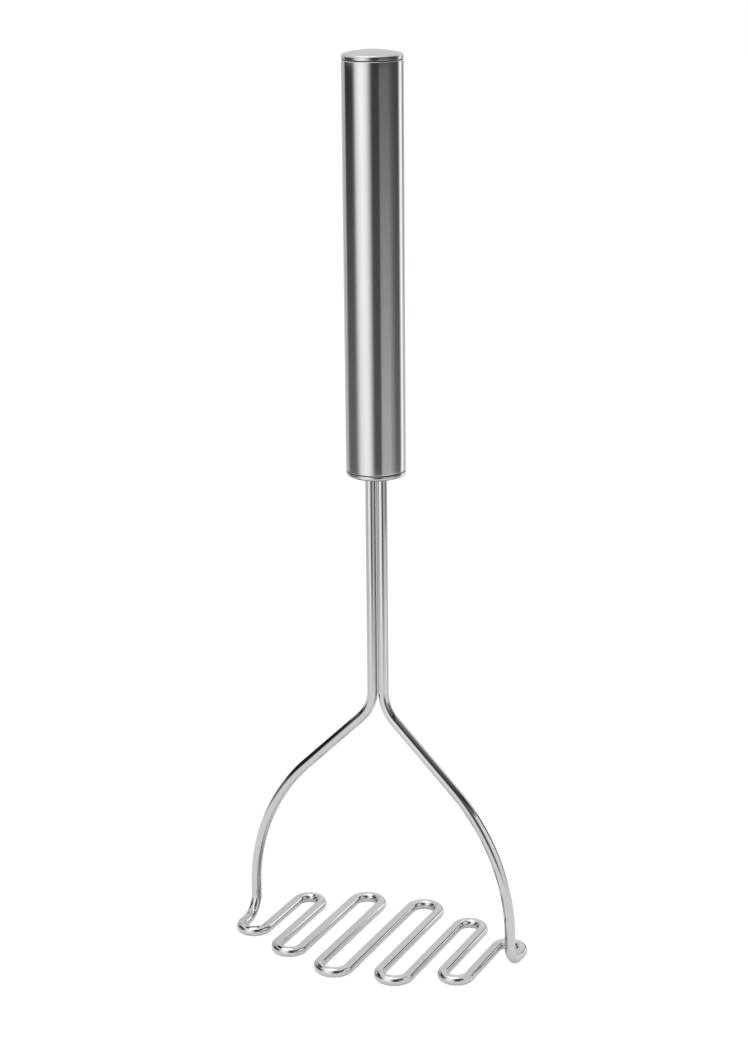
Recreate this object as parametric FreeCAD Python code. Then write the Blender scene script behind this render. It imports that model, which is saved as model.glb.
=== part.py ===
"""Wire potato masher with a tubular handle.

Frame: millimetres, +Z up along the handle's axis. The origin is on that axis, in the plane of the
head's flattened underside, so the masher stands on z = 0. The two legs of the fork lie in the XZ
plane, and the parallel passes of the mashing head run along Y.
"""

import FreeCAD
import Part

import math
import os

V = FreeCAD.Vector

# Handle tube
TUBE_RADIUS = 9.5
TUBE_WALL = 0.8
TUBE_BOTTOM_Z = 165.3
TUBE_LENGTH = 127.7
TUBE_LIP = 0.25  # rounding of the tube's cut ends

# Wire
WIRE_DIAMETER = 3.5
STEM_HALF_GAP = 0.2  # half the daylight between the two stems
STEM_INSERT = 13.4  # how far the stems run up inside the handle

# Fork: each stem kinks outwards, runs straight, and sweeps down through a large arc to its leg
SHOULDER_RADIUS = 14.0
SHOULDER_ANGLE = math.radians(45.5)
LEG_X = 47.2
LEG_ARC_RADIUS = 68.0
LEG_RISE = 10.0  # the upright run below the arc, down to the head's plane
ELBOW_RADIUS = 7.2  # each leg's bend into the plane of the head

# Mashing head: pass positions on one side of the centre pass, and how far each turn reaches from
# y = 0, from the outermost turn to the middle one. The head looks the same turned half a turn.
PASS_X = [10.25, 20.3, 29.3, 38.2]
TURN_REACH = [14.4, 17.3, 22.7, 26.1, 29.3]
HEAD_THICKNESS = 2.6  # pressed flat below everywhere, and above along the straight passes
PRESS_OVERRUN = 1.0  # how far the upper flats run on into the turns
PRESS_EDGE_RADIUS = 3.0  # then the press curves up, and the turns stay round on top
PRESS_EDGE_Y = ELBOW_RADIUS - 0.8  # where the outermost passes' flats end, under the elbows
PRESS_HALF_WIDTH = 4.0  # reach of the press to each side of a pass

# End caps
CAP_GROOVE = 0.3  # dark groove between tube and cap
CAP_RADIUS = 9.45
TOP_RIM_HEIGHT = 0.77
TOP_DOME_RADIUS = 36.0
TOP_CORNER_RADIUS = 0.8
BOTTOM_RIM_HEIGHT = 1.5
BOTTOM_CORNER_RADIUS = 1.0
SPIGOT_LENGTH = 7.0
SPIGOT_WALL = 1.0
SPIGOT_CLEARANCE = 0.02
SEAL_RECESS = 0.35  # how far each seal ring sits back from the tube's skin

# Joint of the stems and the bottom cap
STEM_CLEARANCE = 0.02
WELD_LEG = 1.1
WELD_FOOT_RADIUS = 3.3
WELD_TOE = 0.1  # thickness of the bead's upper edge on the wire

# How far a cutting shape runs past the solid it cuts
OVERCUT = 1.0

# Derived places
WIRE_RADIUS = WIRE_DIAMETER / 2
STEM_X = WIRE_RADIUS + STEM_HALF_GAP
HEAD_Z = HEAD_THICKNESS / 2
TUBE_TOP_Z = TUBE_BOTTOM_Z + TUBE_LENGTH
TUBE_BORE_RADIUS = TUBE_RADIUS - TUBE_WALL
SPIGOT_RADIUS = TUBE_BORE_RADIUS - SPIGOT_CLEARANCE
STEM_TOP_Z = TUBE_BOTTOM_Z + STEM_INSERT
DIE_TOP_Z = WIRE_DIAMETER + OVERCUT
DIE_HALF_Y = max(TURN_REACH) + WIRE_RADIUS + OVERCUT
DIE_HALF_X = LEG_X + WIRE_RADIUS + OVERCUT


def save(name, shape):
    """Writes one sub-part and prints what it is."""
    shape = shape.removeSplitter()
    solids = shape.Solids
    assert solids and all(s.isValid() and s.isClosed() for s in solids), name
    shape.exportStep(os.path.join("parts", name + ".step"))
    print(f"{name}: {len(solids)} solid(s), {shape.Volume:.1f} mm3")


def turned(points):
    """A solid of revolution about Z, from (radius, height) corners, or ('arc', middle, end)."""
    start = V(points[0][0], 0, points[0][1])
    edges, here = [], start
    for item in points[1:] + [points[0]]:
        if item[0] == "arc":
            middle = V(item[1][0], 0, item[1][1])
            there = V(item[2][0], 0, item[2][1])
            edges.append(Part.Arc(here, middle, there).toShape())
        else:
            there = V(item[0], 0, item[1])
            if (there - here).Length > 1e-6:
                edges.append(Part.LineSegment(here, there).toShape())
        here = there
    face = Part.Face(Part.Wire(edges))
    return face.revolve(V(0, 0, 0), V(0, 0, 1), 360)


def rounded_corner(centre, radius, start_deg, end_deg):
    """The ('arc', middle, end) of a corner, with the arc's own start point first."""
    def at(deg):
        a = math.radians(deg)
        return centre[0] + radius * math.cos(a), centre[1] + radius * math.sin(a)
    return [at(start_deg), ("arc", at((start_deg + end_deg) / 2), at(end_deg))]


def stem_holes(z_low, z_high, radius):
    """The two cylinders that the stems pass through."""
    cylinders = [
        Part.makeCylinder(radius, z_high - z_low, V(side * STEM_X, 0, z_low)) for side in (-1, 1)
    ]
    return cylinders[0].fuse(cylinders[1])


def handle_tube():
    """Thin steel tube with rounded ends."""
    lip, bore = TUBE_LIP, TUBE_BORE_RADIUS
    outline = [(bore, TUBE_BOTTOM_Z)]
    outline += rounded_corner((TUBE_RADIUS - lip, TUBE_BOTTOM_Z + lip), lip, -90, 0)
    outline += rounded_corner((TUBE_RADIUS - lip, TUBE_TOP_Z - lip), lip, 0, 90)
    outline += [(bore, TUBE_TOP_Z)]
    return turned(outline)


def top_cap():
    """Domed cap with a hollow spigot that presses into the tube's upper end."""
    base = TUBE_TOP_Z + CAP_GROOVE
    corner = TOP_CORNER_RADIUS
    rim_top = base + TOP_RIM_HEIGHT
    corner_centre = (CAP_RADIUS - corner, rim_top)
    # The dome's sphere meets the rim's rounded corner tangentially.
    reach = TOP_DOME_RADIUS - corner
    dome_centre_z = rim_top - math.sqrt(reach ** 2 - corner_centre[0] ** 2)
    join = math.atan2(rim_top - dome_centre_z, corner_centre[0])
    apex_z = dome_centre_z + TOP_DOME_RADIUS
    mid = (join + math.pi / 2) / 2
    dome_middle = (TOP_DOME_RADIUS * math.cos(mid), dome_centre_z + TOP_DOME_RADIUS * math.sin(mid))
    inner = SPIGOT_RADIUS - SPIGOT_WALL
    foot = TUBE_TOP_Z - SPIGOT_LENGTH
    outline = [(0, base), (inner, base), (inner, foot), (SPIGOT_RADIUS, foot), (SPIGOT_RADIUS, base)]
    outline += [(CAP_RADIUS, base)]
    outline += rounded_corner(corner_centre, corner, 0, math.degrees(join))
    outline += [("arc", dome_middle, (0, apex_z))]
    return turned(outline)


def bottom_cap():
    """Flat cap that closes the tube's lower end and carries the stems in two holes."""
    top = TUBE_BOTTOM_Z - CAP_GROOVE
    face = top - BOTTOM_RIM_HEIGHT
    corner = BOTTOM_CORNER_RADIUS
    inner = SPIGOT_RADIUS - SPIGOT_WALL
    head = TUBE_BOTTOM_Z + SPIGOT_LENGTH
    floor = top + SPIGOT_WALL
    outline = [(0, face)]
    outline += rounded_corner((CAP_RADIUS - corner, face + corner), corner, -90, 0)
    outline += [(CAP_RADIUS, top), (SPIGOT_RADIUS, top), (SPIGOT_RADIUS, head), (inner, head)]
    outline += [(inner, floor), (0, floor)]
    cup = turned(outline)
    return cup.cut(stem_holes(face - OVERCUT, floor + OVERCUT, WIRE_RADIUS + STEM_CLEARANCE))


def seal_ring(z_low):
    """Flat ring that fills the groove between tube and cap, a little below their skins."""
    outer = TUBE_RADIUS - SEAL_RECESS
    ring = Part.makeCylinder(outer, CAP_GROOVE, V(0, 0, z_low))
    return ring.cut(Part.makeCylinder(SPIGOT_RADIUS, CAP_GROOVE, V(0, 0, z_low)))


def stem_weld():
    """Weld bead round both stems, on the bottom cap's inner floor."""
    floor = TUBE_BOTTOM_Z - CAP_GROOVE + SPIGOT_WALL
    toe_radius = WIRE_RADIUS + WELD_TOE
    beads = [
        Part.makeCone(WELD_FOOT_RADIUS, toe_radius, WELD_LEG, V(side * STEM_X, 0, floor))
        for side in (-1, 1)
    ]
    bead = beads[0].fuse(beads[1])
    return bead.cut(stem_holes(floor - OVERCUT, floor + WELD_LEG + OVERCUT, WIRE_RADIUS))


class Route:
    """The wire's centreline, drawn as straight runs and tangent arcs."""

    def __init__(self, start):
        self.here = start
        self.edges = []

    def line_to(self, there):
        if (there - self.here).Length > 1e-6:
            self.edges.append(Part.LineSegment(self.here, there).toShape())
        self.here = there

    def arc(self, centre, axis, angle):
        """Turns about centre by angle, right-handed about axis."""
        spoke = self.here - centre
        turn = FreeCAD.Rotation(axis, math.degrees(angle))
        half = FreeCAD.Rotation(axis, math.degrees(angle / 2))
        there = centre + turn.multVec(spoke)
        self.edges.append(Part.Arc(self.here, centre + half.multVec(spoke), there).toShape())
        self.here = there


def fork_side(side):
    """Edges of one side of the fork, from the stem's top to the end of its elbow; side is -1 or 1."""
    out = V(side, 0, 0)
    bend_axis = V(0, side, 0)
    sine, cosine = math.sin(SHOULDER_ANGLE), math.cos(SHOULDER_ANGLE)
    # Where the sweep begins, so that it ends upright at LEG_X.
    sweep_x = LEG_X - LEG_ARC_RADIUS * (1 - cosine)
    sweep_low_z = HEAD_Z + LEG_RISE
    sweep_top_z = sweep_low_z + LEG_ARC_RADIUS * sine
    # Corner of the stem's line and the straight shoulder, and the tangent length of its bend.
    corner_z = sweep_top_z + (sweep_x - STEM_X) / math.tan(SHOULDER_ANGLE)
    tangent = SHOULDER_RADIUS * math.tan(SHOULDER_ANGLE / 2)
    route = Route(V(side * STEM_X, 0, STEM_TOP_Z))
    route.line_to(V(side * STEM_X, 0, corner_z + tangent))
    route.arc(route.here + out * SHOULDER_RADIUS, bend_axis, -SHOULDER_ANGLE)
    route.line_to(V(side * sweep_x, 0, sweep_top_z))
    route.arc(V(side * (LEG_X - LEG_ARC_RADIUS), 0, sweep_low_z), bend_axis, SHOULDER_ANGLE)
    route.line_to(V(side * LEG_X, 0, HEAD_Z + ELBOW_RADIUS))
    # The left elbow turns to -Y, and the right one to +Y.
    route.arc(route.here + V(0, side * ELBOW_RADIUS, 0), V(1, 0, 0), side * math.pi / 2)
    return route


def head_turns():
    """Each turn of the head as (x of its first pass, x of its second, signed reach along y)."""
    half = [-x for x in reversed([0.0] + PASS_X + [LEG_X])]
    columns = half + PASS_X + [LEG_X]
    reaches = TURN_REACH + TURN_REACH[::-1]
    return [
        (columns[i], columns[i + 1], reach if i % 2 else -reach)
        for i, reach in enumerate(reaches)
    ]


def masher_wire():
    """One wire: stem, fork side, serpentine head, fork side, stem. The head is pressed flat."""
    left, right = fork_side(-1), fork_side(1)
    route = Route(left.here)
    for x_in, x_out, reach in head_turns():
        radius = (x_out - x_in) / 2
        sign = math.copysign(1, reach)
        centre_y = reach - sign * radius
        route.line_to(V(x_in, centre_y, HEAD_Z))
        route.arc(V(x_in + radius, centre_y, HEAD_Z), V(0, 0, 1), -sign * math.pi)
    route.line_to(right.here)
    spine = Part.Wire(left.edges + route.edges + right.edges[::-1])
    start = V(-STEM_X, 0, STEM_TOP_Z)
    section = Part.Wire(Part.makeCircle(WIRE_RADIUS, start, V(0, 0, 1)))
    wire = spine.makePipeShell([section], True, False)
    print(f"wire length {spine.Length:.1f} mm, volume over section times length "
          f"{wire.Volume / (math.pi * WIRE_RADIUS ** 2 * spine.Length):.4f}")
    return wire.cut(press_dies())


def pass_spans():
    """Each pass of the head as (x, y where its flat top begins, y where it ends)."""
    turns = head_turns()
    # Where each turn's arc meets its two passes, moved on by the overrun.
    ends = [
        reach - math.copysign((x_out - x_in) / 2 - PRESS_OVERRUN, reach) for x_in, x_out, reach in turns
    ]
    ends = [-PRESS_EDGE_Y] + ends + [PRESS_EDGE_Y]
    columns = [turns[0][0]] + [x_out for _, x_out, _ in turns]
    return [(x, min(pair), max(pair)) for x, pair in zip(columns, zip(ends, ends[1:]))]


def press_dies():
    """The volume that pressing takes away: all below z = 0, and a die over each pass."""
    under = Part.makeBox(2 * DIE_HALF_X, 2 * DIE_HALF_Y, WIRE_DIAMETER,
                         V(-DIE_HALF_X, -DIE_HALF_Y, -WIRE_DIAMETER))
    return under.fuse([pass_die(x, y_low, y_high) for x, y_low, y_high in pass_spans()])


def pass_die(x, y_low, y_high):
    """The block over one pass: flat below between y_low and y_high, and curved up at both ends."""
    rise = DIE_TOP_Z - HEAD_THICKNESS
    angle = math.acos(1 - rise / PRESS_EDGE_RADIUS)

    def end_point(y, side, a):
        return V(x - PRESS_HALF_WIDTH, y + side * PRESS_EDGE_RADIUS * math.sin(a),
                 HEAD_THICKNESS + PRESS_EDGE_RADIUS * (1 - math.cos(a)))

    left, right = [
        [end_point(y, side, a) for a in (0, angle / 2, angle)] for y, side in ((y_low, -1), (y_high, 1))
    ]
    edges = [
        Part.LineSegment(left[0], right[0]).toShape(),
        Part.Arc(*right).toShape(),
        Part.LineSegment(right[2], left[2]).toShape(),
        Part.Arc(*left).toShape(),
    ]
    face = Part.Face(Part.Wire(Part.sortEdges(edges)[0]))
    return face.extrude(V(2 * PRESS_HALF_WIDTH, 0, 0))


def main():
    os.makedirs("parts", exist_ok=True)
    save("handle_tube", handle_tube())
    save("top_cap", top_cap())
    save("top_seal", seal_ring(TUBE_TOP_Z))
    save("bottom_cap", bottom_cap())
    save("bottom_seal", seal_ring(TUBE_BOTTOM_Z - CAP_GROOVE))
    save("stem_weld", stem_weld())
    save("masher_wire", masher_wire())


main()
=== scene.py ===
"""Looks of a wire potato masher with a tubular steel handle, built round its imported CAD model.

Metres, +Z up along the handle. The masher stands on z = 0 on its pressed wire head.
"""
import math

import bmesh
import bpy
from mathutils import Matrix, Vector


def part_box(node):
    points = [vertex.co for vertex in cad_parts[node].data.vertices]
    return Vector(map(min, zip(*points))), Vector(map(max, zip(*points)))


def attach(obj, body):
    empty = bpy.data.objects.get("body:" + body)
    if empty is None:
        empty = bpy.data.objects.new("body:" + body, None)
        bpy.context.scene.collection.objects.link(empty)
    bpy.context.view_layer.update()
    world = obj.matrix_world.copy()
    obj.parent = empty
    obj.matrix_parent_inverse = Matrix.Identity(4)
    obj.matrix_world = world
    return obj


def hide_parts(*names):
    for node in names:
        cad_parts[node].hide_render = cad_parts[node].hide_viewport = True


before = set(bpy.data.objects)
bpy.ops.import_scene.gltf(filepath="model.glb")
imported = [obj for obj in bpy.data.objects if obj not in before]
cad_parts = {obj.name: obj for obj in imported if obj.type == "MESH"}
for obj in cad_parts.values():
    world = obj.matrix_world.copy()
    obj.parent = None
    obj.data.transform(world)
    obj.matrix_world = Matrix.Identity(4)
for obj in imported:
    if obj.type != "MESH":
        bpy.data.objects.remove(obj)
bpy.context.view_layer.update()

MM = 0.001

# ---------------------------------------------------------------- dimensions, as in the CAD model
tube_low, tube_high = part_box("handle_tube")
top_low, top_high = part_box("top_cap")
bottom_low, bottom_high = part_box("bottom_cap")
_, wire_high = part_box("masher_wire")

TUBE_R = tube_high.x
TUBE_WALL = 0.8 * MM
TUBE_BORE = TUBE_R - TUBE_WALL
TUBE_LIP = 0.25 * MM

CAP_R = top_high.x
CAP_GROOVE = 0.3 * MM
CAP_EDGE_R = 0.1 * MM
SPIGOT_PLAY = 0.02 * MM
SPIGOT_WALL = 1.0 * MM
SPIGOT_R = TUBE_BORE - SPIGOT_PLAY
SPIGOT_BORE = SPIGOT_R - SPIGOT_WALL
TOP_RIM = 0.77 * MM
TOP_CORNER = 0.8 * MM
TOP_DOME_R = 36.0 * MM
BOTTOM_CORNER = 1.0 * MM
BOTTOM_FLOOR = 1.0 * MM
HOLE_PLAY = 0.02 * MM

WIRE_R = 1.75 * MM
STEM_X = 1.95 * MM
SHOULDER_R = 14.0 * MM
SHOULDER_ANGLE = math.radians(45.5)
LEG_X = wire_high.x - WIRE_R
LEG_ARC_R = 68.0 * MM
LEG_RISE = 10.0 * MM
ELBOW_R = 7.2 * MM
PASS_X = [x * MM for x in (10.25, 20.3, 29.3, 38.2)]
COLUMNS = [-LEG_X] + [-x for x in reversed(PASS_X)] + [0.0] + PASS_X + [LEG_X]
TURN_REACH = [y * MM for y in (14.4, 17.3, 22.7, 26.1)] + [wire_high.y - WIRE_R]

# The press squeezes the head to PRESSED. Its upper jaw ends PRESS_OVERRUN into each turn and, beside the
# legs, at PRESS_EDGE_Y, and curves up there.
PRESSED = 2.6 * MM
HEAD_Z = PRESSED / 2
PRESS_OVERRUN = 1.0 * MM
PRESS_EDGE_R = 3.0 * MM
PRESS_EDGE_Y = ELBOW_R - 0.8 * MM
PRESS_BLEND = 0.16 * MM
PRESS_MARK = 0.02 * MM

# ---------------------------------------------------------------- fineness of the meshes
TURNED_SEGMENTS = 240
TUBE_STEPS = 24
LIP_STEPS = 6
SPIGOT_STEPS = 4
FACE_STEPS = 2
PLATE_STEPS = 4
PLATE_RING_R = 3.0 * MM
EDGE_STEPS = 4
CORNER_STEPS = 10
DOME_STEPS = 16
DRILL_SEGMENTS = 64
DRILL_DEPTH = 6.0 * MM
SPLIT_ANGLE = math.radians(40)

STEM_STEP = 4.0 * MM
SHOULDER_STEP = 0.6 * MM
DIAGONAL_STEP = 2.0 * MM
SWEEP_STEP = 1.2 * MM
LEG_STEP = 1.0 * MM
ELBOW_STEP = 0.25 * MM
PASS_STEP = 1.5 * MM
TURN_STEP = 0.35 * MM
LAST_PASS_STEP = 0.6 * MM


# ---------------------------------------------------------------- mesh helpers
def new_object(name, data):
    """An object in the scene from its mesh, camera or lamp."""
    obj = bpy.data.objects.new(name, data)
    bpy.context.scene.collection.objects.link(obj)
    return obj


def mesh_object(bm, name):
    """Turns a bmesh, which it uses up, into an object."""
    mesh = bpy.data.meshes.new(name)
    bm.to_mesh(mesh)
    bm.free()
    return new_object(name, mesh)


def finish_piece(bm, name, replaced, material):
    """Turns a bmesh into a smooth-shaded piece that rides on the one body in place of a CAD node."""
    bmesh.ops.recalc_face_normals(bm, faces=bm.faces)
    obj = mesh_object(bm, name)
    for polygon in obj.data.polygons:
        polygon.use_smooth = True
    obj.data.materials.append(material)
    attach(obj, "root")
    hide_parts(replaced)
    return obj


def arc_points(centre, radius, start_deg, end_deg, steps):
    """Points of a circle's arc in the (radius, height) half-plane."""
    points = []
    for i in range(steps + 1):
        a = math.radians(start_deg + (end_deg - start_deg) * i / steps)
        points.append((centre[0] + radius * math.cos(a), centre[1] + radius * math.sin(a)))
    return points


def run(start, end, steps):
    """Points along a straight run, its end left out."""
    return [
        (start[0] + (end[0] - start[0]) * i / steps, start[1] + (end[1] - start[1]) * i / steps)
        for i in range(steps)
    ]


def turned_ring(bm, r, z):
    """One ring of a turned shape, or a single vertex, repeated, where it meets the axis."""
    if r == 0:
        return [bm.verts.new((0, 0, z))] * TURNED_SEGMENTS
    ring = []
    for k in range(TURNED_SEGMENTS):
        a = 2 * math.pi * k / TURNED_SEGMENTS
        ring.append(bm.verts.new((r * math.cos(a), r * math.sin(a), z)))
    return ring


def lathe(profile):
    """A bmesh from a closed (radius, height) profile turned about Z. UVs are metres round and along."""
    bm = bmesh.new()
    uv = bm.loops.layers.uv.new("Turned")
    lengths = [0.0]
    for (r0, z0), (r1, z1) in zip(profile, profile[1:] + profile[:1]):
        lengths.append(lengths[-1] + math.hypot(r1 - r0, z1 - z0))
    rings = [turned_ring(bm, r, z) for r, z in profile]
    segment = 2 * math.pi * max(r for r, _ in profile) / TURNED_SEGMENTS
    for i, ring in enumerate(rings):
        following = rings[(i + 1) % len(rings)]
        for k in range(TURNED_SEGMENTS):
            n = (k + 1) % TURNED_SEGMENTS
            corners = [(ring[k], k, i), (ring[n], k + 1, i), (following[n], k + 1, i + 1),
                       (following[k], k, i + 1)]
            kept = []
            for corner in corners:
                if all(corner[0] is not other[0] for other in kept):
                    kept.append(corner)
            if len(kept) < 3:
                continue
            face = bm.faces.new([corner[0] for corner in kept])
            for loop, (_, step, level) in zip(face.loops, kept):
                loop[uv].uv = (segment * step, lengths[level])
    return bm


# ---------------------------------------------------------------- the wire's route
class Route:
    """Stations along the wire's centreline: point, tangent, and whether the press reaches it."""

    def __init__(self, start, tangent):
        self.here = Vector(start)
        self.stations = [(self.here.copy(), Vector(tangent).normalized(), False)]

    def line_to(self, there, step, pressed=False):
        there = Vector(there)
        span = there - self.here
        count = math.ceil(span.length / step)
        for i in range(1, count + 1):
            self.stations.append((self.here + span * (i / count), span.normalized(), pressed))
        self.here = there

    def arc(self, centre, axis, angle, step, pressed=False):
        """Turns about centre by angle, right-handed about axis."""
        centre, axis = Vector(centre), Vector(axis)
        spoke = self.here - centre
        count = math.ceil(abs(angle) * spoke.length / step)
        for i in range(1, count + 1):
            turned = Matrix.Rotation(angle * i / count, 3, axis) @ spoke
            tangent = axis.cross(turned) * math.copysign(1, angle)
            self.stations.append((centre + turned, tangent.normalized(), pressed))
        self.here = self.stations[-1][0].copy()


def fork_side(side, top_z):
    """Route of one side of the fork, from its stem's end down to the end of its elbow."""
    sine, cosine = math.sin(SHOULDER_ANGLE), math.cos(SHOULDER_ANGLE)
    sweep_x = LEG_X - LEG_ARC_R * (1 - cosine)
    sweep_low = HEAD_Z + LEG_RISE
    sweep_top = sweep_low + LEG_ARC_R * sine
    corner_z = sweep_top + (sweep_x - STEM_X) / math.tan(SHOULDER_ANGLE)
    shoulder_z = corner_z + SHOULDER_R * math.tan(SHOULDER_ANGLE / 2)
    elbow_z = HEAD_Z + ELBOW_R
    bend = (0, side, 0)
    route = Route((side * STEM_X, 0, top_z), (0, 0, -1))
    route.line_to((side * STEM_X, 0, shoulder_z), STEM_STEP)
    route.arc((side * (STEM_X + SHOULDER_R), 0, shoulder_z), bend, -SHOULDER_ANGLE, SHOULDER_STEP)
    route.line_to((side * sweep_x, 0, sweep_top), DIAGONAL_STEP)
    route.arc((side * (LEG_X - LEG_ARC_R), 0, sweep_low), bend, SHOULDER_ANGLE, SWEEP_STEP)
    route.line_to((side * LEG_X, 0, elbow_z), LEG_STEP)
    route.arc((side * LEG_X, side * ELBOW_R, elbow_z), (1, 0, 0), side * math.pi / 2, ELBOW_STEP, True)
    return route


def head_turns():
    """Each turn of the head as (x of its first pass, x of its second, reach, which way along y)."""
    reaches = TURN_REACH + TURN_REACH[::-1]
    return [(COLUMNS[i], COLUMNS[i + 1], reach, 1 if i % 2 else -1) for i, reach in enumerate(reaches)]


def wire_stations(top_z):
    """Stations of the whole wire, from the left stem's end to the right stem's end."""
    route, right = fork_side(-1, top_z), fork_side(1, top_z)
    for x_in, x_out, reach, sign in head_turns():
        radius = (x_out - x_in) / 2
        centre_y = sign * (reach - radius)
        route.line_to((x_in, centre_y, HEAD_Z), PASS_STEP, True)
        route.arc((x_in + radius, centre_y, HEAD_Z), (0, 0, 1), -sign * math.pi, TURN_STEP, True)
    route.line_to(right.here, LAST_PASS_STEP, True)
    back = [(p, -t, pressed) for p, t, pressed in reversed(right.stations)]
    return route.stations + back[1:]


def soft_limit(value, limit, blend):
    """The lower of two heights, with a small rounding where they cross."""
    if limit == math.inf:
        return value
    h = max(blend - abs(value - limit), 0.0) / blend
    return min(value, limit) - h * h * blend / 4


def pass_spans():
    """Each pass of the head as (x, y where its flat top begins, y where it ends)."""
    ends = [-PRESS_EDGE_Y]
    for x_in, x_out, reach, sign in head_turns():
        ends.append(sign * (reach - (x_out - x_in) / 2 + PRESS_OVERRUN))
    ends.append(PRESS_EDGE_Y)
    return [(x, min(pair), max(pair)) for x, pair in zip(COLUMNS, zip(ends, ends[1:]))]


def press_height(point, spans):
    """Height of the upper jaw over a point: flat along each pass, curving up past both its ends."""
    _, y_low, y_high = min(spans, key=lambda span: abs(span[0] - point.x))
    past = max(y_low - point.y, point.y - y_high, 0.0)
    if past >= PRESS_EDGE_R:
        return math.inf
    return PRESSED + PRESS_EDGE_R - math.sqrt(PRESS_EDGE_R ** 2 - past ** 2)


def press(point, spans):
    """Moves a point to where the press's two jaws leave it. Gives 1.0 if either marks it, else 0.0."""
    limit = press_height(point, spans)
    marked = point.z > limit - PRESS_MARK
    point.z = soft_limit(point.z, limit, PRESS_BLEND)
    marked = marked or point.z < PRESS_MARK
    point.z = -soft_limit(-point.z, 0.0, PRESS_BLEND)
    return float(marked)


def section_angles():
    """Angles round the wire's section, closest together where the flats' edges fall."""
    edge = math.degrees(math.asin(HEAD_Z / WIRE_R))
    quarter = [0, 10, 20, 29, 36, 41, edge - 4.5, edge - 2.5, edge - 1, edge + 0.5, edge + 2.5,
               edge + 5, 62, 75]
    upper = quarter + [90] + [180 - a for a in reversed(quarter)]
    lower = [360 - a for a in reversed(upper[1:-1])]
    return [math.radians(a) for a in upper + lower]


def sweep_wire(top_z):
    """The wire as one closed mesh, round above and pressed flat in the head."""
    bm = bmesh.new()
    uv = bm.loops.layers.uv.new("Wire")
    flat_layer = bm.verts.layers.float.new("pressed")
    spans = pass_spans()
    angles = section_angles()
    side_axis = Vector((1, 0, 0))
    rings, runs, length = [], [], 0.0
    previous = None
    for point, tangent, pressed in wire_stations(top_z):
        if previous is not None:
            length += (point - previous[0]).length
            if previous[1].dot(tangent) < 0.9999999:
                side_axis = previous[1].rotation_difference(tangent) @ side_axis
        side_axis = (side_axis - tangent * side_axis.dot(tangent)).normalized()
        other = tangent.cross(side_axis)
        ring = []
        for a in angles:
            p = point + (side_axis * math.cos(a) + other * math.sin(a)) * WIRE_R
            flat = press(p, spans) if pressed else 0.0
            vertex = bm.verts.new(p)
            vertex[flat_layer] = flat
            ring.append(vertex)
        rings.append(ring)
        runs.append(length)
        previous = (point, tangent)
    count = len(angles)
    for i in range(len(rings) - 1):
        for k in range(count):
            n = (k + 1) % count
            face = bm.faces.new((rings[i][k], rings[i][n], rings[i + 1][n], rings[i + 1][k]))
            start, end = angles[k], angles[n] if n else 2 * math.pi
            corners = [(start, runs[i]), (end, runs[i]), (end, runs[i + 1]), (start, runs[i + 1])]
            for loop, (a, along) in zip(face.loops, corners):
                loop[uv].uv = (a * WIRE_R, along)
    bm.faces.new(rings[0])
    bm.faces.new(rings[-1])
    return bm


# ---------------------------------------------------------------- shader helpers
NOISE_SPAN = (0.3, 0.7)


def principled(material):
    return material.node_tree.nodes["Principled BSDF"]


def new_material(name):
    material = bpy.data.materials.new(name)
    material.use_nodes = True
    return material, material.node_tree, principled(material)


def node(tree, kind, inputs=None, **settings):
    """Adds a node, sets its properties, and fills or links its inputs."""
    made = tree.nodes.new(kind)
    for key, value in settings.items():
        setattr(made, key, value)
    for key, value in (inputs or {}).items():
        if isinstance(value, bpy.types.NodeSocket):
            tree.links.new(value, made.inputs[key])
        else:
            made.inputs[key].default_value = value
    return made


def coordinates(tree, uv_map=None):
    """Coordinates in the object's own axes, or those of a UV layer."""
    if uv_map:
        return node(tree, "ShaderNodeUVMap", uv_map=uv_map).outputs["UV"]
    return node(tree, "ShaderNodeTexCoord").outputs["Object"]


def axes(tree):
    """The x, y and z of each point in the object's own axes."""
    return node(tree, "ShaderNodeSeparateXYZ", {"Vector": coordinates(tree)}).outputs


def noise(tree, source, scale, detail=3.0, rough=0.55):
    """Noise over coordinates that are first scaled per axis."""
    scaled = node(tree, "ShaderNodeMapping", {"Vector": source, "Scale": scale}).outputs["Vector"]
    made = node(tree, "ShaderNodeTexNoise",
                {"Vector": scaled, "Scale": 1.0, "Detail": detail, "Roughness": rough})
    return made.outputs["Fac"]


def remap(tree, value, low, high, to_low, to_high):
    made = node(tree, "ShaderNodeMapRange", {
        "Value": value, "From Min": low, "From Max": high, "To Min": to_low, "To Max": to_high})
    return made.outputs["Result"]


def step_up(tree, edge_z, blend, to_low, to_high):
    """A value that passes from to_low to to_high as the height passes edge_z."""
    return remap(tree, axes(tree)["Z"], edge_z - blend, edge_z + blend, to_low, to_high)


def mix_colour(tree, factor, first, second):
    """A colour between two. 0, 6 and 7 are the Mix node's factor and its two colour inputs."""
    made = node(tree, "ShaderNodeMix", data_type="RGBA")
    for index, value in ((0, factor), (6, first), (7, second)):
        if isinstance(value, bpy.types.NodeSocket):
            tree.links.new(value, made.inputs[index])
        else:
            made.inputs[index].default_value = value
    return made.outputs[2]


def maths(tree, operation, first, second):
    return node(tree, "ShaderNodeMath", {0: first, 1: second}, operation=operation).outputs[0]


def add_bump(tree, shader, height, strength, distance):
    bump = node(tree, "ShaderNodeBump", {"Height": height, "Strength": strength, "Distance": distance})
    tree.links.new(bump.outputs["Normal"], shader.inputs["Normal"])


def source_of(shader, name):
    """The output that is linked to one of a shader's inputs."""
    return shader.inputs[name].links[0].from_socket


# ---------------------------------------------------------------- materials
SMUDGE_SCALE = (90, 90, 60)
MARK_SCALE = (900, 900, 500)
GRAIN_SCALE = (5200, 2600, 1)
MOTTLE_SCALE = (2500, 2500, 2500)
# The first grey below is painted shade on the bottom cap's face and the lower half of its corner.
UNDERSIDE_SHADE_GREY = (0.20, 0.197, 0.19, 1)
PRESSED_GREY = (0.50, 0.495, 0.49, 1)


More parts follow.
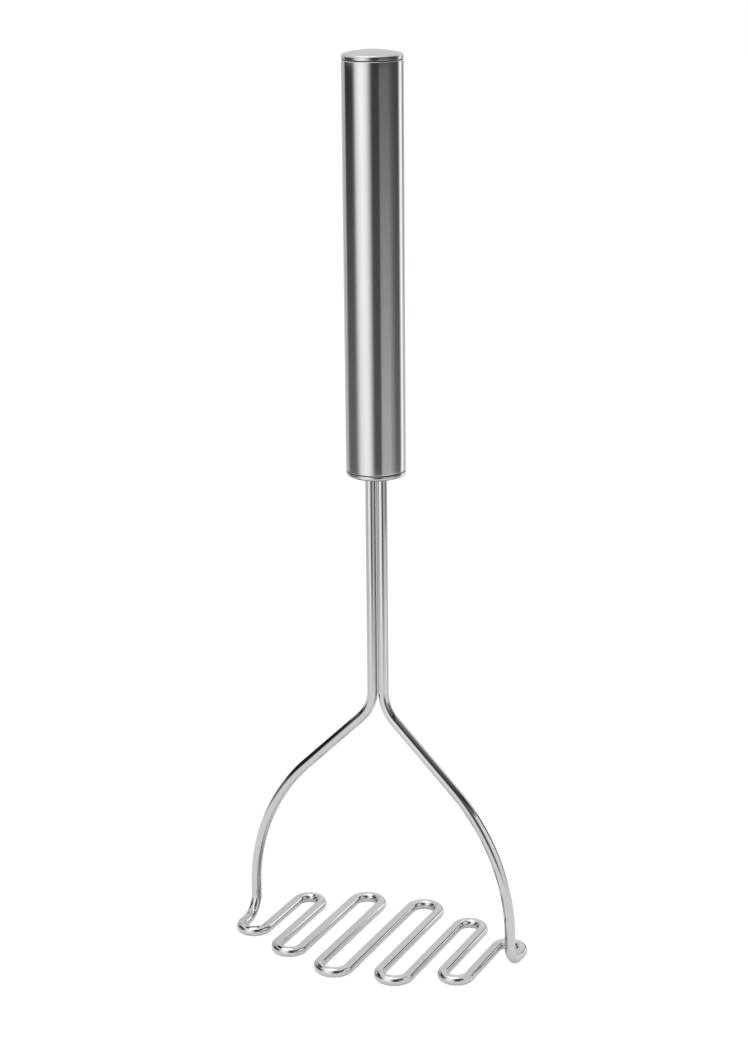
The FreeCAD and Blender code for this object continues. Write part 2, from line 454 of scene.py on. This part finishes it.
def steel(name, scale, light, dark, rough, brush, bump, uv_map=None):
    """Bare steel with drawn or brushed lines, smudges and faint handling marks.

    The lines are noise, stretched along the axis of the lowest scale. They vary the roughness by
    brush, up and down.
    """
    material, tree, shader = new_material(name)
    source = coordinates(tree, uv_map)
    lines = noise(tree, source, scale, detail=4.0, rough=0.65)
    smudge = noise(tree, source, SMUDGE_SCALE, detail=3.0, rough=0.5)
    marks = noise(tree, source, MARK_SCALE, detail=2.0, rough=0.6)
    base = mix_colour(tree, remap(tree, lines, *NOISE_SPAN, 0.0, 1.0), dark, light)
    worn = mix_colour(tree, remap(tree, smudge, 0.45, 0.8, 0.0, 0.25), base, dark)
    tree.links.new(worn, shader.inputs["Base Color"])
    lined = remap(tree, lines, *NOISE_SPAN, rough - brush, rough + brush)
    smudged = maths(tree, "ADD", lined, remap(tree, smudge, 0.4, 0.75, 0.0, brush * 1.5))
    spots = maths(tree, "MULTIPLY", remap(tree, marks, 0.68, 0.8, 0.0, 1.0), 0.08)
    tree.links.new(maths(tree, "ADD", smudged, spots), shader.inputs["Roughness"])
    add_bump(tree, shader, lines, strength=bump, distance=0.02 * MM)
    shader.inputs["Metallic"].default_value = 1.0
    return material


def add_satin_dome(material, edge_z):
    """Above edge_z the cap's dome is satin. Its rim below is as bright as the tube."""
    tree, shader = material.node_tree, principled(material)
    satin = step_up(tree, edge_z, blend=0.15 * MM, to_low=0.0, to_high=0.26)
    rough = source_of(shader, "Roughness")
    tree.links.new(maths(tree, "ADD", rough, satin), shader.inputs["Roughness"])


def add_painted_underside_shade(material, edge_z):
    """Below edge_z the cap's turned-under edge and its face get painted shade: their colour is darkened
    there.
    """
    tree, shader = material.node_tree, principled(material)
    # Painted shade: below edge_z the base colour is mixed towards a dark grey.
    unshaded = step_up(tree, edge_z, blend=0.25 * MM, to_low=0.0, to_high=1.0)
    colour = source_of(shader, "Base Color")
    tree.links.new(mix_colour(tree, unshaded, UNDERSIDE_SHADE_GREY, colour), shader.inputs["Base Color"])


def add_pressed_finish(material):
    """The flats that the press leaves are duller than the wire's drawn sides, with a fine grain."""
    tree, shader = material.node_tree, principled(material)
    mask = node(tree, "ShaderNodeAttribute", attribute_name="pressed").outputs["Fac"]
    grain = noise(tree, coordinates(tree, "Wire"), GRAIN_SCALE, rough=0.7)
    dull = maths(tree, "MULTIPLY", mask, remap(tree, grain, *NOISE_SPAN, 0.16, 0.30))
    rough = source_of(shader, "Roughness")
    tree.links.new(maths(tree, "ADD", rough, dull), shader.inputs["Roughness"])
    speck = maths(tree, "MULTIPLY", mask, remap(tree, grain, 0.35, 0.75, 0.0, 0.35))
    colour = source_of(shader, "Base Color")
    tree.links.new(mix_colour(tree, speck, colour, PRESSED_GREY), shader.inputs["Base Color"])


def seal_material():
    """Matt black sealant with a faint mottle."""
    material, tree, shader = new_material("seal_black")
    mottle = noise(tree, coordinates(tree), MOTTLE_SCALE)
    colour = mix_colour(tree, mottle, (0.02, 0.02, 0.02, 1), (0.05, 0.048, 0.045, 1))
    tree.links.new(colour, shader.inputs["Base Color"])
    tree.links.new(remap(tree, mottle, *NOISE_SPAN, 0.5, 0.7), shader.inputs["Roughness"])
    add_bump(tree, shader, mottle, strength=0.3, distance=0.03 * MM)
    return material


handle_steel = steel("handle_satin_steel", scale=(2600, 2600, 14), light=(0.62, 0.615, 0.60, 1),
                     dark=(0.57, 0.565, 0.55, 1), rough=0.11, brush=0.02, bump=0.05)
cap_steel = steel("cap_satin_steel", scale=(1800, 1800, 1800), light=(0.62, 0.615, 0.61, 1),
                  dark=(0.57, 0.565, 0.56, 1), rough=0.15, brush=0.03, bump=0.10)
dome_steel = steel("dome_satin_steel", scale=(1800, 1800, 1800), light=(0.55, 0.545, 0.54, 1),
                   dark=(0.50, 0.495, 0.49, 1), rough=0.15, brush=0.03, bump=0.10)
weld_steel = steel("weld_bead", scale=(1500, 1500, 1500), light=(0.42, 0.40, 0.38, 1),
                   dark=(0.20, 0.18, 0.17, 1), rough=0.5, brush=0.08, bump=0.6)
wire_steel = steel("wire_polished_steel", scale=(2200, 30, 1), light=(0.63, 0.625, 0.615, 1),
                   dark=(0.57, 0.565, 0.555, 1), rough=0.09, brush=0.03, bump=0.05, uv_map="Wire")
add_satin_dome(dome_steel, tube_high.z + CAP_GROOVE + TOP_RIM + 0.6 * TOP_CORNER)
# Painted shade on the bottom cap's face and the lower half of its corner.
add_painted_underside_shade(cap_steel, bottom_low.z + 0.5 * BOTTOM_CORNER)
add_pressed_finish(wire_steel)


# ---------------------------------------------------------------- pieces
def build_handle():
    """Thin tube with rounded ends."""
    low, high, lip = tube_low.z, tube_high.z, TUBE_LIP
    profile = [(TUBE_BORE, low)]
    profile += arc_points((TUBE_R - lip, low + lip), lip, -90, 0, LIP_STEPS)
    profile += run((TUBE_R, low + lip), (TUBE_R, high - lip), TUBE_STEPS)[1:]
    profile += arc_points((TUBE_R - lip, high - lip), lip, 0, 90, LIP_STEPS)
    profile += run((TUBE_BORE, high), (TUBE_BORE, low), TUBE_STEPS)
    finish_piece(lathe(profile), "handle_tube_skin", "handle_tube", handle_steel)


def build_top_cap():
    """Domed cap with a rounded rim and a hollow spigot."""
    base, foot, edge = tube_high.z + CAP_GROOVE, top_low.z, CAP_EDGE_R
    centre = (CAP_R - TOP_CORNER, base + TOP_RIM)
    reach = TOP_DOME_R - TOP_CORNER
    dome_z = centre[1] - math.sqrt(reach ** 2 - centre[0] ** 2)
    join = math.degrees(math.atan2(centre[1] - dome_z, centre[0]))
    profile = [(0, base)]
    profile += run((SPIGOT_BORE, base), (SPIGOT_BORE, foot), SPIGOT_STEPS)
    profile += run((SPIGOT_BORE, foot), (SPIGOT_R, foot), FACE_STEPS)
    profile += run((SPIGOT_R, foot), (SPIGOT_R, base), SPIGOT_STEPS)
    profile += run((SPIGOT_R, base), (CAP_R - edge, base), FACE_STEPS)
    profile += arc_points((CAP_R - edge, base + edge), edge, -90, 0, EDGE_STEPS)
    profile += arc_points(centre, TOP_CORNER, 0, join, CORNER_STEPS)
    profile += arc_points((0, dome_z), TOP_DOME_R, join, 90, DOME_STEPS)[1:-1]
    profile += [(0, dome_z + TOP_DOME_R)]
    finish_piece(lathe(profile), "top_cap_dome", "top_cap", dome_steel)


def drill_holes(obj, face_z):
    """Cuts the wire's two holes through a plate, and shades its sharp edges as sharp."""
    drill = bmesh.new()
    for side in (-1, 1):
        bmesh.ops.create_cone(drill, cap_ends=True, segments=DRILL_SEGMENTS, radius1=WIRE_R + HOLE_PLAY,
                              radius2=WIRE_R + HOLE_PLAY, depth=DRILL_DEPTH,
                              matrix=Matrix.Translation((side * STEM_X, 0, face_z)))
    tool = mesh_object(drill, "drill")
    cut = obj.modifiers.new("holes", "BOOLEAN")
    cut.object = tool
    cut.operation = "DIFFERENCE"
    cut.solver = "EXACT"
    evaluated = obj.evaluated_get(bpy.context.evaluated_depsgraph_get())
    drilled = bpy.data.meshes.new_from_object(evaluated)
    obj.modifiers.clear()
    obj.data = drilled
    bpy.data.objects.remove(tool)
    sharpen = obj.modifiers.new("edges", "EDGE_SPLIT")
    sharpen.split_angle = SPLIT_ANGLE


def build_bottom_cap():
    """Flat cap with a rounded edge, a spigot, and two holes that the wire passes through."""
    face, top = bottom_low.z, tube_low.z - CAP_GROOVE
    head, floor = bottom_high.z, top + BOTTOM_FLOOR
    corner, edge = BOTTOM_CORNER, CAP_EDGE_R
    profile = [(0, face)] + run((PLATE_RING_R, face), (CAP_R - corner, face), PLATE_STEPS)
    profile += arc_points((CAP_R - corner, face + corner), corner, -90, 0, CORNER_STEPS)
    profile += arc_points((CAP_R - edge, top - edge), edge, 0, 90, EDGE_STEPS)
    profile += run((SPIGOT_R, top), (SPIGOT_R, head), SPIGOT_STEPS)
    profile += run((SPIGOT_R, head), (SPIGOT_BORE, head), FACE_STEPS)
    profile += run((SPIGOT_BORE, head), (SPIGOT_BORE, floor), SPIGOT_STEPS)
    profile += [(SPIGOT_BORE, floor), (0, floor)]
    plate = finish_piece(lathe(profile), "bottom_cap_plate", "bottom_cap", cap_steel)
    drill_holes(plate, face)


def build_wire():
    """The one bent wire: stems, fork and head."""
    finish_piece(sweep_wire(wire_high.z), "masher_wire_swept", "masher_wire", wire_steel)


def cover(piece, material):
    """Gives a CAD mesh that stays in the model its own material."""
    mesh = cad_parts[piece].data
    mesh.materials.clear()
    mesh.materials.append(material)


build_handle()
build_top_cap()
build_bottom_cap()
build_wire()
seal = seal_material()
cover("top_seal", seal)
cover("bottom_seal", seal)
cover("stem_weld", weld_steel)

# ---------------------------------------------------------------- camera
CAMERA_AZIMUTH = math.radians(25.93)
CAMERA_DISTANCE = 0.7053
CAMERA_HEIGHT = 0.3618
CAMERA_TILT = math.radians(16.952)
CAMERA_YAW = math.radians(-0.066)
CAMERA_ROLL = math.radians(-0.543)
CAMERA_LENS = 79.35
CAMERA_SENSOR = 36.0
CAMERA_NEAR = 0.01


def build_camera():
    """The camera, at the photograph's angle and distance."""
    lens = bpy.data.cameras.new("camera")
    lens.lens = CAMERA_LENS
    lens.sensor_width = CAMERA_SENSOR
    lens.clip_start = CAMERA_NEAR
    camera = new_object("camera", lens)
    around = Matrix.Rotation(CAMERA_AZIMUTH, 3, "Z")
    forward = math.cos(CAMERA_TILT)
    ahead = Vector((math.sin(CAMERA_YAW) * forward, math.cos(CAMERA_YAW) * forward, -math.sin(CAMERA_TILT)))
    level = Vector((math.cos(CAMERA_YAW), -math.sin(CAMERA_YAW), 0))
    above = level.cross(ahead)
    across = level * math.cos(CAMERA_ROLL) + above * math.sin(CAMERA_ROLL)
    upward = above * math.cos(CAMERA_ROLL) - level * math.sin(CAMERA_ROLL)
    basis = around @ Matrix((across, upward, -ahead)).transposed()
    place = around @ Vector((0, -CAMERA_DISTANCE, CAMERA_HEIGHT))
    camera.matrix_world = Matrix.Translation(place) @ basis.to_4x4()
    bpy.context.scene.camera = camera


build_camera()

# ---------------------------------------------------------------- floor, studio and light
FLOOR_R = 3.0
FLOOR_SEGMENTS = 96
FLOOR_GREY, FLOOR_GLOW = 0.14, 0.90
TABLE_GREY, TABLE_GLOW = 0.70, 0.18
TABLE_GAP = 0.05 * MM
FLOOR_MOTTLE = 0.01
FLOOR_MOTTLE_SCALE = (3, 3, 3)
SHEET_GAP = 0.5 * MM
SHEET_STEP_DEG = 2
TENT_R = 0.42
TENT_SKIRT_R = 0.22
TENT_HEIGHT = 0.62
TENT_MAX = 2.4
LAMP_TARGET = Vector((0, 0, 0.12))

# Heights between which the tent's panels pass from one column of PANELS to the one before it, and
# from there on to a light haze.
LOW_TO_MIDDLE = (0.06, 0.24)
MIDDLE_TO_HIGH = (0.28, 0.34)
HIGH_TO_HAZE = (0.37, 0.46)
HAZE = 0.07

# Brightness of the tent's panels, which only the metal's reflections see: (degrees from the camera,
# positive to its right; brightness high up; half-way up; low down). The stops were picked from the
# brightness measured across the photo's handle, so the stripes come from here, not from the steel.
PANELS = [
    (-180, 0.92, 0.92, 0.92), (-150, 0.90, 0.70, 0.72), (-126, 0.90, 0.66, 0.58), (-119, 0.90, 0.09, 0.22),
    (-112, 0.90, 0.05, 0.19), (-82, 0.90, 0.06, 0.20), (-74, 0.95, 0.28, 0.35), (-65, 1.00, 1.00, 0.80),
    (-55, 1.20, 1.33, 1.15), (-42, 1.30, 1.54, 1.36), (-27, 1.20, 1.25, 1.35), (-17, 0.80, 0.80, 0.95),
    (-5, 0.10, 0.10, 0.20), (0, 0.04, 0.07, 0.13), (21, 0.03, 0.07, 0.13), (25, 0.03, 0.22, 0.60),
    (56, 0.03, 0.22, 0.62), (70, 0.03, 0.13, 0.42), (84, 0.05, 0.10, 0.20), (104, 0.15, 0.08, 0.18),
    (111, 0.40, 0.60, 0.45), (118, 0.90, 1.60, 1.50), (127, 1.20, 1.50, 1.45), (135, 1.00, 0.40, 0.70),
    (150, 1.00, 0.52, 0.65), (165, 1.00, 0.85, 0.90), (180, 0.92, 0.92, 0.92)]

# Cards inside the tent: the radius and the degrees where each stands, and (height, brightness). They
# were placed until the wire's reflections from the front agreed with the photo's.
CARDS = {
    "white_card": (0.23, 40, 96, [(0.0, 0.90), (0.065, 0.88), (0.078, 0.60)]),
    "leg_card": (0.10, 44, 90, [(0.030, 0.90), (0.055, 1.05), (0.089, 1.05)]),
    "black_card": (0.075, -144, -84, [(0.054, 0.02), (0.091, 0.02)]),
    "grey_card": (0.10, 94, 128, [(0.020, 0.34), (0.036, 0.18), (0.050, 0.06), (0.075, 0.06)]),
    "stem_card": (0.015, 92, 284, [(0.0834, 0.90), (0.120, 0.80), (0.161, 0.75)]),
}


def stage_object(bm, name, material):
    """Turns a bmesh into a piece of the studio, with its material."""
    obj = mesh_object(bm, name)
    obj.data.materials.append(material)
    return obj


def floor_material(name, grey, glow):
    """Evenly lit white table top. Where more of it is glow, shadows on it are fainter."""
    material, tree, shader = new_material(name)
    dark, light = [[shade] * 3 + [1] for shade in (grey - FLOOR_MOTTLE, grey + FLOOR_MOTTLE)]
    mottle = noise(tree, coordinates(tree), FLOOR_MOTTLE_SCALE)
    tree.links.new(mix_colour(tree, mottle, dark, light), shader.inputs["Base Color"])
    shader.inputs["Roughness"].default_value = 0.9
    shader.inputs["Specular IOR Level"].default_value = 0.0
    shader.inputs["Emission Color"].default_value = (1, 1, 1, 1)
    shader.inputs["Emission Strength"].default_value = glow
    return material


def glow_ramp(tree, along, stops):
    """Grey along a value that runs from 0 to 1, from (place, brightness) stops. White is TENT_MAX."""
    ramp = node(tree, "ShaderNodeValToRGB", {"Fac": along})
    elements = ramp.color_ramp.elements
    elements.remove(elements[-1])
    for index, (place, brightness) in enumerate(stops):
        element = elements.new(place) if index else elements[0]
        element.position = place
        element.color = [brightness / TENT_MAX] * 3 + [1]
    return ramp.outputs["Color"]


def glow_material(name):
    """An emission material with its colour left to be linked: the material, its tree and that input."""
    material = bpy.data.materials.new(name)
    material.use_nodes = True
    tree = material.node_tree
    tree.nodes.clear()
    glow = node(tree, "ShaderNodeEmission", {"Strength": TENT_MAX})
    node(tree, "ShaderNodeOutputMaterial", {"Surface": glow.outputs[0]})
    return material, tree, glow.inputs["Color"]


def tent_material():
    """Glowing panels with dark gaps between them. Their feet fade into the white table."""
    material, tree, glow = glow_material("tent_panels")
    x, y, z = axes(tree)
    angle = maths(tree, "ARCTAN2", x, maths(tree, "MULTIPLY", y, -1.0))
    compass = remap(tree, angle, -math.pi, math.pi, 0.0, 1.0)
    high, middle, low = [
        glow_ramp(tree, compass, [((stop[0] + 180) / 360, stop[column]) for stop in PANELS])
        for column in (1, 2, 3)
    ]
    colour = mix_colour(tree, remap(tree, z, *LOW_TO_MIDDLE, 0.0, 1.0), low, middle)
    colour = mix_colour(tree, remap(tree, z, *MIDDLE_TO_HIGH, 0.0, 1.0), colour, high)
    colour = mix_colour(tree, remap(tree, z, *HIGH_TO_HAZE, 0.0, HAZE), colour, (1, 1, 1, 1))
    squares = maths(tree, "ADD", maths(tree, "MULTIPLY", x, x), maths(tree, "MULTIPLY", y, y))
    across = maths(tree, "SQRT", squares, 0.0)
    table = [1 / TENT_MAX] * 3 + [1]
    faded = mix_colour(tree, remap(tree, across, TENT_SKIRT_R, TENT_R, 0.0, 1.0), table, colour)
    tree.links.new(faded, glow)
    return material


def card_material(name, stops):
    """Card whose brightness changes with height, from (height, brightness) stops."""
    material, tree, glow = glow_material(name)
    low, high = stops[0][0], stops[-1][0]
    along = remap(tree, axes(tree)["Z"], low, high, 0.0, 1.0)
    places = [((height - low) / (high - low), brightness) for height, brightness in stops]
    tree.links.new(glow_ramp(tree, along, places), glow)
    return material


def reflector(name, material, profile, start_deg, end_deg):
    """A glowing sheet turned about Z, from (radius, height) points. Only reflections see it."""
    bm = bmesh.new()
    columns = []
    for degrees in range(start_deg, end_deg + 1, SHEET_STEP_DEG):
        a = math.radians(degrees)
        columns.append([bm.verts.new((r * math.sin(a), -r * math.cos(a), z)) for r, z in profile])
    for left, right in zip(columns, columns[1:]):
        for i in range(len(profile) - 1):
            bm.faces.new((left[i], right[i], right[i + 1], left[i + 1]))
    obj = stage_object(bm, name, material)
    obj.rotation_euler = (0, 0, CAMERA_AZIMUTH)
    obj.visible_camera = False
    obj.visible_diffuse = False
    obj.visible_transmission = False
    obj.visible_shadow = False
    obj.visible_volume_scatter = False


def build_disc(name, height, grey, glow, seen):
    """A round white floor. If it isn't seen by the camera, the metal and the light see it instead."""
    bm = bmesh.new()
    bmesh.ops.create_circle(bm, cap_ends=True, segments=FLOOR_SEGMENTS, radius=FLOOR_R,
                            matrix=Matrix.Translation((0, 0, height)))
    obj = stage_object(bm, name, floor_material(name + "_white", grey, glow))
    obj.visible_camera = seen
    obj.visible_glossy = not seen
    obj.visible_diffuse = not seen
    obj.visible_shadow = False


def soft_box(name, azimuth, elevation, distance, size, power):
    """A square lamp aimed at the masher's lower half. The camera doesn't see it."""
    lamp = bpy.data.lights.new(name, "AREA")
    lamp.shape = "SQUARE"
    lamp.size = size
    lamp.energy = power
    obj = new_object(name, lamp)
    a, e = CAMERA_AZIMUTH + math.radians(azimuth), math.radians(elevation)
    towards = Vector((math.sin(a) * math.cos(e), -math.cos(a) * math.cos(e), math.sin(e)))
    obj.location = LAMP_TARGET + distance * towards
    obj.rotation_euler = (LAMP_TARGET - obj.location).to_track_quat("-Z", "Y").to_euler()
    obj.visible_camera = False


def build_world():
    """White surroundings, seen where the floor ends and over the tent."""
    world = bpy.data.worlds.new("white_room")
    world.use_nodes = True
    background = world.node_tree.nodes["Background"]
    background.inputs["Color"].default_value = (1, 1, 1, 1)
    background.inputs["Strength"].default_value = 1.0
    bpy.context.scene.world = world


build_disc("floor", 0.0, FLOOR_GREY, FLOOR_GLOW, seen=True)
build_disc("table_top", -TABLE_GAP, TABLE_GREY, TABLE_GLOW, seen=False)
tent_profile = [(TENT_SKIRT_R, SHEET_GAP), (TENT_R, SHEET_GAP), (TENT_R, TENT_HEIGHT)]
reflector("light_tent", tent_material(), tent_profile, -180, 180)
for card, (radius, start_deg, end_deg, stops) in CARDS.items():
    profile = [(radius, max(stops[0][0], SHEET_GAP)), (radius, stops[-1][0])]
    reflector(card, card_material(card, stops), profile, start_deg, end_deg)
soft_box("top_box", azimuth=-60, elevation=75, distance=1.2, size=0.9, power=3.2)
build_world()
bpy.context.scene.view_settings.view_transform = "Standard"
bpy.context.scene.view_settings.look = "None"

def corners(bounds):
    return [[float(v) for v in corner] for corner in bounds]
